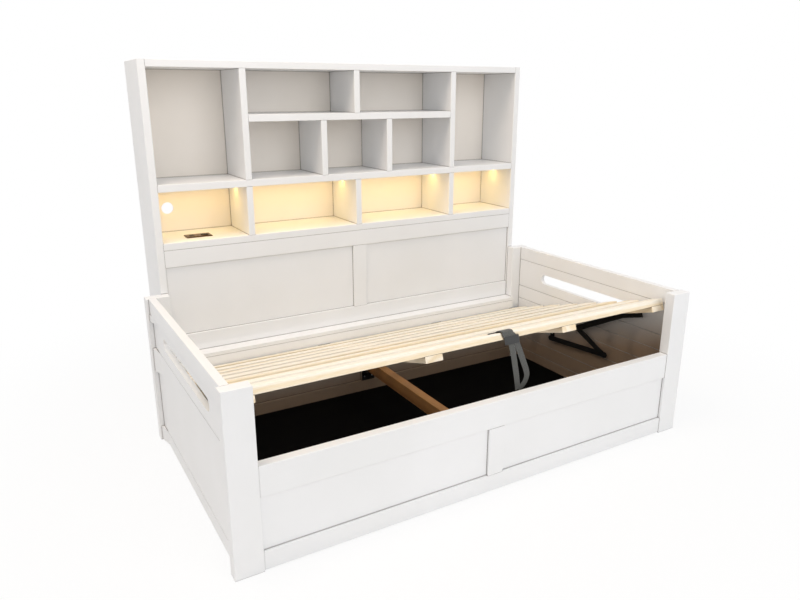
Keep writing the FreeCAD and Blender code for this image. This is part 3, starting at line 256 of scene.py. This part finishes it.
def pine(name, along, pale, dark, ring_strength, lifted):
    """Pine with its grain along one axis: colour = mix of early and late wood by a bent wave plus fibres."""
    material, tree, shader = start_material(name, IOR=1.46)
    place = add(tree, "ShaderNodeTexCoord").outputs["Object"]
    if lifted:
        place = add(tree, "ShaderNodeMapping", {"Vector": place, "Rotation": (LIFT, 0, 0)}).outputs[0]
    across = add(tree, "ShaderNodeSeparateXYZ", {0: place}).outputs["Y" if along == "x" else "X"]
    count = add(tree, "ShaderNodeMath", {0: across, 1: SLAT_PITCH_MM / 1000}, operation="DIVIDE").outputs[0]
    number = add(tree, "ShaderNodeMath", {0: count}, operation="FLOOR").outputs[0]
    chance = add(tree, "ShaderNodeTexWhiteNoise", {"W": number}, noise_dimensions="1D").outputs
    if lifted:
        place = add(tree, "ShaderNodeVectorMath", {0: place, 1: chance["Color"]}, operation="ADD").outputs[0]
    stretched = add(tree, "ShaderNodeMapping", {"Vector": place, "Scale": STRETCH[along]}).outputs[0]
    wave = add(tree, "ShaderNodeTexWave", {"Vector": stretched,
                                           "Scale": 2 * math.pi / 20 * per_metre(BANDS_MM),
                                           "Distortion": 5.0, "Detail": 2.0, "Detail Scale": 1.4},
               wave_type="RINGS", rings_direction=along.upper()).outputs[1]
    fibre = add(tree, "ShaderNodeTexNoise", {"Vector": stretched, "Scale": per_metre(FIBRE_MM),
                                             "Detail": 3.0}).outputs[0]
    late = add(tree, "ShaderNodeMapRange", {0: wave, 1: 0.45, 2: 1.0, 4: ring_strength}).outputs[0]
    fine = add(tree, "ShaderNodeMapRange", {0: fibre, 1: 0.35, 2: 0.75, 4: 0.35}).outputs[0]
    amount = add(tree, "ShaderNodeMath", {0: late, 1: fine}, operation="ADD", use_clamp=True).outputs[0]
    colour = add(tree, "ShaderNodeMix", {0: amount, 6: linear(pale), 7: linear(dark)},
                 data_type="RGBA").outputs[2]
    tone = add(tree, "ShaderNodeMapRange", {0: chance["Value"], 3: 0.93, 4: 1.03}).outputs[0]
    toned = add(tree, "ShaderNodeVectorMath", {0: colour, 3: tone}, operation="SCALE").outputs[0]
    # The pine's colour takes painted shade in its joints and slots.
    shaded = add(tree, "ShaderNodeMix", {0: painted_joint_shade(tree, PINE_JOINT_MM, PINE_JOINT_SHADE), 6: toned,
                                         7: linear(PINE_JOINT_SHADE_TINT)},
                 data_type="RGBA", blend_type="MULTIPLY").outputs[2]
    tree.links.new(shaded, shader.inputs["Base Color"])
    rough = add(tree, "ShaderNodeMapRange", {0: amount, 3: 0.55, 4: 0.7}).outputs[0]
    tree.links.new(rough, shader.inputs["Roughness"])
    bump = add(tree, "ShaderNodeBump", {"Height": amount, "Strength": 0.2, "Distance": 0.0005}).outputs[0]
    tree.links.new(bump, shader.inputs["Normal"])
    return material


slat_pine = pine("planed_pine_slats", "x", "#FFFAEF", "#EED9B0", 0.6, lifted=True)
bar_pine = pine("planed_pine_bars", "y", "#FDF3E0", "#E6CDA0", 0.5, lifted=True)
beam_pine = pine("brown_pine_beam", "y", "#B98855", "#8A5B30", 0.6, lifted=False)
ledger_pine = pine("brown_pine_ledgers", "x", "#B98855", "#8A5B30", 0.6, lifted=False)
print("pine bands", BANDS_MM, "mm apart")

# %% [markdown]
# ## The black storage floor
# The box's floor is a thin board with a black melamine face. Such a face is pressed against a textured plate,
# which leaves a fine leathery grain that spreads a reflection. It takes a near black, a noise for that grain,
# and a slight change in gloss where hands and boxes have rubbed.

# %% Black board
PRESSED_MM = 6.0
RUBBED_MM = 260.0

black_board, tree, shader = start_material("black_melamine_board", IOR=1.5, Specular_IOR_Level=0.08)
place = add(tree, "ShaderNodeTexCoord").outputs["Object"]
pressed = add(tree, "ShaderNodeTexNoise", {"Vector": place, "Scale": per_metre(PRESSED_MM),
                                           "Detail": 4.0}).outputs[0]
rubbed = add(tree, "ShaderNodeTexNoise", {"Vector": place, "Scale": per_metre(RUBBED_MM),
                                          "Detail": 4.0}).outputs[0]
black = add(tree, "ShaderNodeMix", {0: rubbed, 6: linear("#020202"), 7: linear("#050505")},
            data_type="RGBA").outputs[2]
tree.links.new(black, shader.inputs["Base Color"])
tree.links.new(add(tree, "ShaderNodeMapRange", {0: rubbed, 3: 0.75, 4: 0.9}).outputs[0],
               shader.inputs["Roughness"])
tree.links.new(add(tree, "ShaderNodeBump", {"Height": pressed, "Strength": 0.2,
                                            "Distance": 0.0004}).outputs[0], shader.inputs["Normal"])
print("black board pressed at", PRESSED_MM, "mm")

# %% [markdown]
# ## Steel, aluminium and brass
# The links, arms, their pins and the beam's hangers are mild steel with a black powder coat, which bakes to a
# low pebbled skin. Hinges and screws are zinc plated, a cool metal with faint blotches. The light channels
# are extruded aluminium, anodised satin, and the socket plate is brass aged to a dark brown. All are metals
# or thin coats over metal, so one function makes them from a colour, a roughness and the size of their
# unevenness.


# %% Metals
def metal_skin(name, pale, dark, metallic, rough, grain_mm, height, along="flat"):
    """A metal or its coat: tone and roughness follow one noise of the given grain, and so does the bump."""
    material, tree, shader = start_material(name, Metallic=metallic)
    place = add(tree, "ShaderNodeTexCoord").outputs["Object"]
    place = add(tree, "ShaderNodeMapping", {"Vector": place, "Scale": STRETCH[along]}).outputs[0]
    blotch = add(tree, "ShaderNodeTexNoise", {"Vector": place, "Scale": per_metre(grain_mm),
                                              "Detail": 3.0}).outputs[0]
    colour = add(tree, "ShaderNodeMix", {0: blotch, 6: linear(pale), 7: linear(dark)},
                 data_type="RGBA").outputs[2]
    tree.links.new(colour, shader.inputs["Base Color"])
    tree.links.new(add(tree, "ShaderNodeMapRange", {0: blotch, 1: 0.3, 2: 0.7, 3: rough[0],
                                                    4: rough[1]}).outputs[0], shader.inputs["Roughness"])
    tree.links.new(add(tree, "ShaderNodeBump", {"Height": blotch, "Strength": 0.3,
                                                "Distance": height}).outputs[0], shader.inputs["Normal"])
    return material


black_steel = metal_skin("black_powder_coat", "#080808", "#040404", 0.0, (0.5, 0.65), 2.0, 0.0002)
zinc = metal_skin("zinc_plated_steel", "#CDD0D2", "#AEB2B6", 1.0, (0.25, 0.4), 8.0, 0.0001)
aluminium = metal_skin("satin_anodised_aluminium", "#D9DADB", "#C4C6C8", 1.0, (0.3, 0.38), 3.0, 0.00005, "x")
brass = metal_skin("aged_brass", "#6B4A26", "#3D2815", 1.0, (0.28, 0.45), 14.0, 0.0001)
print("metals:", ", ".join(material.name for material in (black_steel, zinc, aluminium, brass)))

# %% [markdown]
# ## Socket plastic and the lit diffuser
# The sockets are moulded ABS in a dark brown, whose skin the same function makes. The diffuser is a frosted
# polycarbonate strip that snaps into the channel: from outside it is milky, and the light behind it makes it
# glow warm.

# %% Plastics
WARM_LIGHT = "#FFD372"
DIFFUSER_GLOW = 2.0
FROST_MM = 4.0

socket_plastic = metal_skin("moulded_dark_abs", "#2A1B12", "#1C120C", 0.0, (0.35, 0.45), 3.0, 0.0001)
diffuser, tree, shader = start_material("frosted_polycarbonate", IOR=1.58, Roughness=0.5,
                                        Emission_Color=linear(WARM_LIGHT), Emission_Strength=DIFFUSER_GLOW)
place = add(tree, "ShaderNodeTexCoord").outputs["Object"]
frost = add(tree, "ShaderNodeTexNoise", {"Vector": place, "Scale": per_metre(FROST_MM),
                                         "Detail": 2.0}).outputs[0]
milk = add(tree, "ShaderNodeMix", {0: frost, 6: linear("#FFF6E0"), 7: linear("#FBEFD2")},
           data_type="RGBA").outputs[2]
tree.links.new(milk, shader.inputs["Base Color"])
print("diffuser glows at", DIFFUSER_GLOW)

# %% [markdown]
# ## Woven tape for the pull strap
# The strap is polypropylene webbing: thick ribs of weft run across it, held by fine warp threads along it.
# On a flat picture the ribs read as close dark lines. The real ribs are 1.6 mm apart, and they are drawn at
# 3.2 mm so that they show. The pattern follows the tape's own UV map, in metres, because the tape bends.

# %% Webbing
RIB_MM = 3.2
WARP_MM = 2.4
WARP_SHARE = 0.3
WEAVE_TONE = 0.75


def woven_tape(name, pale, dark):
    """Weave = ribs + 0.3 * warp, with ribs = sin(2 pi u / rib) and warp = sin(2 pi v / warp), each 0 to 1."""
    material, tree, shader = start_material(name, IOR=1.49, Roughness=0.75, Sheen_Weight=0.25,
                                            Sheen_Roughness=0.4)
    spot = add(tree, "ShaderNodeSeparateXYZ", {0: add(tree, "ShaderNodeUVMap", uv_map="tape").outputs[0]})
    waves = []
    for axis, spacing in (("X", RIB_MM), ("Y", WARP_MM)):
        turns = add(tree, "ShaderNodeMath", {0: spot.outputs[axis], 1: 2 * math.pi * per_metre(spacing)},
                    operation="MULTIPLY").outputs[0]
        sine = add(tree, "ShaderNodeMath", {0: turns}, operation="SINE").outputs[0]
        waves.append(add(tree, "ShaderNodeMapRange", {0: sine, 1: -1.0, 2: 1.0}).outputs[0])
    weave = add(tree, "ShaderNodeMath", {0: waves[1], 1: WARP_SHARE, 2: waves[0]},
                operation="MULTIPLY_ADD").outputs[0]
    shade = add(tree, "ShaderNodeMath", {0: weave, 1: WEAVE_TONE}, operation="MULTIPLY",
                use_clamp=True).outputs[0]
    colour = add(tree, "ShaderNodeMix", {0: shade, 6: linear(dark), 7: linear(pale)},
                 data_type="RGBA").outputs[2]
    tree.links.new(colour, shader.inputs["Base Color"])
    tree.links.new(add(tree, "ShaderNodeBump", {"Height": weave, "Strength": 0.6,
                                                "Distance": 0.0006}).outputs[0], shader.inputs["Normal"])
    return material


tape = woven_tape("grey_ribbed_webbing", "#6E6F6C", "#2C2D2C")
band_tape = woven_tape("dark_grey_ribbed_webbing", "#4A4B4C", "#1E1F21")
print("webbing ribs", RIB_MM, "mm apart")

# %% [markdown]
# ## Give every board its finish
# A CAD node keeps its mesh, and only its material slots change. Long rails and shelves take the paint whose
# grain runs along X, the side boards the one along Y, the posts and uprights the one along Z.

# %% Dress the CAD nodes
finishes = {
    paint["x"]: ["front_top_rail", "front_bottom_rail", "rear_top_rail", "rear_ledge", "rear_bottom_rail",
                 "case_top", "upper_shelf", "main_shelf", "lower_shelf", "case_base", "apron_rail",
                 "lower_rail"],
    paint["y"]: ["side_top_rail_left", "side_top_rail_right", "slot_board_left", "slot_board_right",
                 "side_planks_left", "side_planks_right", "side_bottom_rails"],
    paint["z"]: ["post_front_left", "post_front_right", "post_rear_left", "post_rear_right", "mid_stiles",
                 "case_side_left", "case_side_right", "tall_partitions", "top_partition",
                 "middle_partitions", "lower_partitions", "lower_stile"],
    paint["flat"]: ["frame_panels", "lower_panels"],
    paint["warm"]: ["case_back"],
    slat_pine: ["slats"],
    bar_pine: ["cross_bars"],
    beam_pine: ["support_beam"],
    ledger_pine: ["front_ledgers"],
    black_board: ["floor_panels", "floor_bearer"],
    black_steel: ["lift_arms", "upper_link_left", "upper_link_right", "lower_link_left",
                  "lower_link_right", "wall_plates", "arm_pins", "wall_pins", "beam_hangers"],
    zinc: ["hinge_rail_leaves", "hinge_platform_leaves", "hinge_pins", "frame_screws",
           "platform_screws"],
    aluminium: ["light_channels"],
    diffuser: ["light_diffusers"],
    brass: ["socket_plate"],
    socket_plastic: ["socket_ports"],
}
for material, names in finishes.items():
    for name in names:
        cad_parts[name].data.materials.clear()
        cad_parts[name].data.materials.append(material)
print(sum(len(names) for names in finishes.values()), "nodes dressed")

# %% [markdown]
# ## The pull strap
# A length of webbing passes through the slot in the front slat, comes over its front edge, and hangs as a
# loop for a hand. A band of the same webbing holds its two runs together, and their ends are sewn to each
# other at the foot. It could be two flat strips, but tape has rounded edges and bends over the wood. So each
# run is a small rounded section carried along a smooth path.

# %% Helpers for tape
TAPE_WIDE = 0.026
TAPE_THICK = 0.0018
SECTION_POINTS = 20


def smooth_path(points, steps):
    """A Catmull-Rom line: between p1 and p2 it is a cubic with slopes (p2-p0)/2 and (p3-p1)/2."""
    knots = np.array(points, float)
    knots = np.vstack([2 * knots[0] - knots[1], knots, 2 * knots[-1] - knots[-2]])
    t = np.linspace(0, 1, steps, endpoint=False)[:, None, None]
    p0, p1, p2, p3 = knots[None, :-3], knots[None, 1:-2], knots[None, 2:-1], knots[None, 3:]
    runs = 0.5 * (2 * p1 + (p2 - p0) * t + (2 * p0 - 5 * p1 + 4 * p2 - p3) * t ** 2
                  + (3 * p1 - p0 - 3 * p2 + p3) * t ** 3)
    return np.vstack([runs.transpose(1, 0, 2).reshape(-1, 3), knots[-2]])


def tape_mesh(name, points, across, wide, thick, steps=8, closed=False):
    """Tape along a path. Each ring is |2a/wide|^4 + |2b/thick|^2 = 1, a across the tape and b through it."""
    line = smooth_path(points, steps)
    if closed:
        line = line[:-1]
        run = np.roll(line, -1, axis=0) - np.roll(line, 1, axis=0)
    else:
        run = np.gradient(line, axis=0)
    run /= np.linalg.norm(run, axis=1, keepdims=True)
    side = across - (across * run).sum(1, keepdims=True) * run
    side /= np.linalg.norm(side, axis=1, keepdims=True)
    up = np.cross(run, side)
    turn = np.linspace(0, 2 * math.pi, SECTION_POINTS, endpoint=False)
    a = wide / 2 * np.sign(np.cos(turn)) * np.abs(np.cos(turn)) ** 0.5
    b = thick / 2 * np.sin(turn)
    grid = line[:, None] + a[None, :, None] * side[:, None] + b[None, :, None] * up[:, None]
    rings, spots = grid.shape[:2]
    row = np.arange(rings if closed else rings - 1)
    ring, spot = [part.ravel() for part in np.meshgrid(row, np.arange(spots), indexing="ij")]
    after, beside = (ring + 1) % rings, (spot + 1) % spots
    faces = np.stack([after * spots + spot, after * spots + beside, ring * spots + beside,
                      ring * spots + spot], axis=1)
    caps = [] if closed else [list(range(spots))[::-1], list(range((rings - 1) * spots, rings * spots))]
    length = np.concatenate([[0], np.cumsum(np.linalg.norm(np.diff(line, axis=0), axis=1))])
    mesh = bpy.data.meshes.new(name)
    mesh.from_pydata(grid.reshape(-1, 3), [], faces.tolist() + caps)
    uv = mesh.uv_layers.new(name="tape")
    corner = np.empty(len(mesh.loops), np.int32)
    mesh.loops.foreach_get("vertex_index", corner)
    uv.data.foreach_set("uv", np.stack([length[corner // spots], a[corner % spots]], 1).ravel())
    mesh.polygons.foreach_set("use_smooth", np.ones(len(mesh.polygons), bool))
    made = bpy.data.objects.new(name, mesh)
    bpy.context.scene.collection.objects.link(made)
    return made, length[-1]


print("tape", TAPE_WIDE * 1000, "mm wide")

# %% [markdown]
# ## Where the strap runs
# The path is worked out in the platform's own plane, which leans back by the lift angle: a point so far in
# front of the hinge line and so high above it turns with the platform. Over the slat the tape lifts off a
# little in a loose arc. In front of the edge it stays within the 9 mm between the slat and the front rail, so
# that the platform can close. Below the slat the tape hangs straight down, and the right run swings out and
# comes back to the foot. The end of the wrap shows in the slot's mouth, left of the runs, in the keeper's
# darker tape as painted shade in the slot.

# %% The strap's two runs
HINGE = np.array([0.0, 0.3473, 0.298])
EDGE = 0.9843
SLOT = EDGE - 0.028
SLAT_TOP, SLAT_LOW = 0.005, -0.022
BAND_OUT = 0.0045
TAPE_GAP = TAPE_THICK / 2 + 0.0003
WRAP_TAIL_X = (0.030, 0.055, 0.080, 0.100)
WRAP_TAIL_HIGH = 0.007


def on_platform(x, forward, height):
    """A point x along the bed, forward of the hinge axis and above it as if level, turned by the lift."""
    return np.array([x, HINGE[1] - forward * math.cos(LIFT) + height * math.sin(LIFT),
                     HINGE[2] + forward * math.sin(LIFT) + height * math.cos(LIFT)])


OVER_THE_SLAT = ((-0.014, SLOT + 0.0015, SLAT_LOW - TAPE_GAP), (-0.013, SLOT + 0.001, SLAT_TOP - 0.004),
                 (-0.011, SLOT + 0.006, SLAT_TOP + 0.004), (-0.007, EDGE - 0.010, SLAT_TOP + 0.0075),
                 (-0.002, EDGE + 0.0035, SLAT_TOP + 0.002), (0.0, EDGE + BAND_OUT, SLAT_LOW + 0.016))
platform_up = on_platform(0, 0, 1) - HINGE
hang_y, hang_z = on_platform(0, EDGE + TAPE_GAP, SLAT_LOW)[1:]


def strap_run(name, edge_x, drops):
    """Through the slot, over the edge at edge_x, then down by drops of (x, drop, out) through the keeper."""
    wood = [on_platform(edge_x + shift, forward, height) for shift, forward, height in OVER_THE_SLAT]
    hang = [(x, hang_y + out, hang_z - drop) for x, drop, out in drops]
    return tape_mesh(name, wood + hang, (1, 0, 0), TAPE_WIDE, TAPE_THICK)


left_run, left_long = strap_run("strap_left_run", 0.086, [
    (0.098, -0.006, -0.0016), (0.106, 0.016, -0.0084), (0.119, 0.060, -0.0098), (0.131, 0.110, -0.009),
    (0.142, 0.160, -0.009), (0.151, 0.213, -0.009)])
right_run, right_long = strap_run("strap_right_run", 0.112, [
    (0.124, -0.006, -0.0016), (0.132, 0.016, -0.0084), (0.148, 0.050, -0.0098), (0.168, 0.095, -0.009),
    (0.189, 0.145, -0.009), (0.1915, 0.170, -0.009), (0.181, 0.194, -0.008), (0.158, 0.215, -0.007)])
wrap_tail, tail_long = tape_mesh("strap_wrap_tail",
                                 [on_platform(x, SLOT + 0.001, SLAT_TOP + 0.0005) for x in WRAP_TAIL_X],
                                 platform_up, WRAP_TAIL_HIGH, TAPE_THICK)
# The wrap's end takes the keeper's darker tape as painted shade in the slot.
for piece, webbing in ((left_run, tape), (right_run, tape), (wrap_tail, band_tape)):
    piece.data.materials.append(webbing)
    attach(piece, "platform")
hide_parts("pull_strap")
print(f"strap runs {left_long:.3f} m and {right_long:.3f} m, wrap's end {tail_long:.3f} m")

# %% [markdown]
# ## The keeper
# The keeper is a short band of the same tape, sewn round both runs just under the slat. It is a closed ring,
# flat in front and behind, with tight bends at its ends: its outline is a wide ellipse whose cosine is raised
# to a small power, which squares it off.

# %% Keeper band
BAND_HIGH = 0.031
BAND_MIDDLE_X = 0.113
BAND_HALF_WIDE, BAND_HALF_DEEP = 0.034, 0.0028
BAND_HEIGHT = -0.0278
BAND_SQUARENESS = 0.35

turn = np.linspace(0, 2 * math.pi, 25)
reach = np.sign(np.cos(turn)) * np.abs(np.cos(turn)) ** BAND_SQUARENESS
band_path = [on_platform(BAND_MIDDLE_X + BAND_HALF_WIDE * sideways,
                         EDGE + BAND_OUT + BAND_HALF_DEEP * math.sin(angle), BAND_HEIGHT)
             for sideways, angle in zip(reach, turn)]
keeper, keeper_long = tape_mesh("keeper_band", band_path, platform_up, BAND_HIGH, TAPE_THICK, steps=3,
                                closed=True)
keeper.data.materials.append(band_tape)
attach(keeper, "platform")
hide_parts("strap_keeper")
print(f"keeper band {keeper_long:.3f} m round")

# %% [markdown]
# ## Warm light in the cubbies
# A light strip runs the whole width of each lit cubby, under the main shelf. The glowing diffuser alone would
# give a noisy picture, so an area lamp of the strip's own size hangs just under each one. It stands for the
# strip, and it reaches the cubby's end walls, which gives the bright spots where the strip meets them.

# %% Strip lights
STRIP_WATTS_PER_METRE = 0.78
STRIP_END_GAP = 0.004
STRIP_DROP = 0.0015
CUBBIES = {"far_left": (-0.910, -0.542), "left": (-0.514, -0.014), "right": (0.014, 0.514),
           "far_right": (0.542, 0.910)}

strip_low, strip_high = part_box("light_diffusers")
for place_name, (low, high) in CUBBIES.items():
    lamp = bpy.data.lights.new(f"strip_{place_name}", "AREA")
    lamp.shape = "RECTANGLE"
    lamp.size = high - low - STRIP_END_GAP
    lamp.size_y = strip_high.y - strip_low.y
    lamp.energy = STRIP_WATTS_PER_METRE * (high - low)
    lamp.color = linear(WARM_LIGHT)[:3]
    holder = bpy.data.objects.new(f"strip_{place_name}", lamp)
    holder.location = ((low + high) / 2, (strip_low.y + strip_high.y) / 2, strip_low.z - STRIP_DROP)
    bpy.context.scene.collection.objects.link(holder)
print(len(CUBBIES), "strips at", STRIP_WATTS_PER_METRE, "W per metre")

# %% [markdown]
# ## A plain white studio
# The photograph stands in pure white. A wide pale floor carries the object's soft shadow, and it fades into a
# white world far from the bed. Rays from the camera, from gloss and through glass see that white, and all
# others see a dimmer sky, so the background never adds light to the object.

# %% Floor and world
FLOOR_HALF = 30.0
FLOOR_DROP = 0.0002
FLOOR_FADE = (1.0, 2.6)
FLOOR_WHITENESS = 0.86
SKY = 0.63


def seen_directly(tree):
    """1 for rays from the camera, from gloss and through glass, 0 for the light that falls on things."""
    path = add(tree, "ShaderNodeLightPath").outputs
    some = add(tree, "ShaderNodeMath", {0: path["Is Camera Ray"], 1: path["Is Glossy Ray"]},
               operation="MAXIMUM").outputs[0]
    return add(tree, "ShaderNodeMath", {0: some, 1: path["Is Transmission Ray"]},
               operation="MAXIMUM").outputs[0]


floor_mesh = bpy.data.meshes.new("studio_floor")
floor_mesh.from_pydata([(-FLOOR_HALF, -FLOOR_HALF, 0), (FLOOR_HALF, -FLOOR_HALF, 0),
                        (FLOOR_HALF, FLOOR_HALF, 0), (-FLOOR_HALF, FLOOR_HALF, 0)], [], [(0, 1, 2, 3)])
floor = bpy.data.objects.new("studio_floor", floor_mesh)
floor.location.z = -FLOOR_DROP
bpy.context.scene.collection.objects.link(floor)

floor_material = bpy.data.materials.new("studio_floor_white")
floor_material.use_nodes = True
tree = floor_material.node_tree
tree.nodes.clear()
place = add(tree, "ShaderNodeTexCoord").outputs["Object"]
distance = add(tree, "ShaderNodeVectorMath", {0: place}, operation="LENGTH").outputs["Value"]
fade = add(tree, "ShaderNodeMapRange", {0: distance, 1: FLOOR_FADE[0], 2: FLOOR_FADE[1],
                                        3: FLOOR_WHITENESS, 4: 1.0},
           interpolation_type="SMOOTHSTEP").outputs[0]
share = add(tree, "ShaderNodeMath", {0: seen_directly(tree), 1: fade}, operation="MULTIPLY").outputs[0]
matt = add(tree, "ShaderNodeBsdfDiffuse", {"Color": linear("#F2F2F2")}).outputs[0]
white = add(tree, "ShaderNodeEmission", {"Color": (1, 1, 1, 1), "Strength": 1.0}).outputs[0]
mixed = add(tree, "ShaderNodeMixShader", {0: share, 1: matt, 2: white}).outputs[0]
add(tree, "ShaderNodeOutputMaterial", {0: mixed})
floor_mesh.materials.append(floor_material)

world = bpy.data.worlds.new("studio_world")
world.use_nodes = True
tree = world.node_tree
tree.nodes.clear()
level = add(tree, "ShaderNodeMapRange", {0: seen_directly(tree), 3: SKY, 4: 1.0}).outputs[0]
sky = add(tree, "ShaderNodeBackground", {"Color": (1, 1, 1, 1), "Strength": level}).outputs[0]
add(tree, "ShaderNodeOutputWorld", {0: sky})
bpy.context.scene.world = world
print("floor and sky ready, sky strength", SKY)

# %% [markdown]
# ## Soft studio lamps
# Big soft boxes give even light with gentle shading. The key stands in front and to the right above, so the
# front faces are a little brighter than the left side, and a small warm lamp above picks out the slats. The
# sky does the rest, so no lamp stands at the sides.

# %% Lamps
SOFT_BOXES = (("key_soft_box", (0.6, -4.2, 3.0), (0, 0, 0.6), 3.0, 60.0, "#FFFFFF"),
              ("warm_top_box", (-1.6, -0.4, 4.2), (0.2, -0.2, 0.3), 1.6, 68.0, "#FFEBD6"))

for name, place, target, size, watts, colour in SOFT_BOXES:
    lamp = bpy.data.lights.new(name, "AREA")
    lamp.size = size
    lamp.energy = watts
    lamp.color = linear(colour)[:3]
    holder = bpy.data.objects.new(name, lamp)
    holder.location = place
    way = np.array(target, float) - np.array(place, float)
    holder.rotation_euler = (math.acos(-way[2] / np.linalg.norm(way)), 0.0,
                             math.atan2(way[1], way[0]) - math.pi / 2)
    bpy.context.scene.collection.objects.link(holder)
bpy.context.scene.view_settings.view_transform = "Standard"
print(len(SOFT_BOXES), "studio lamps placed")
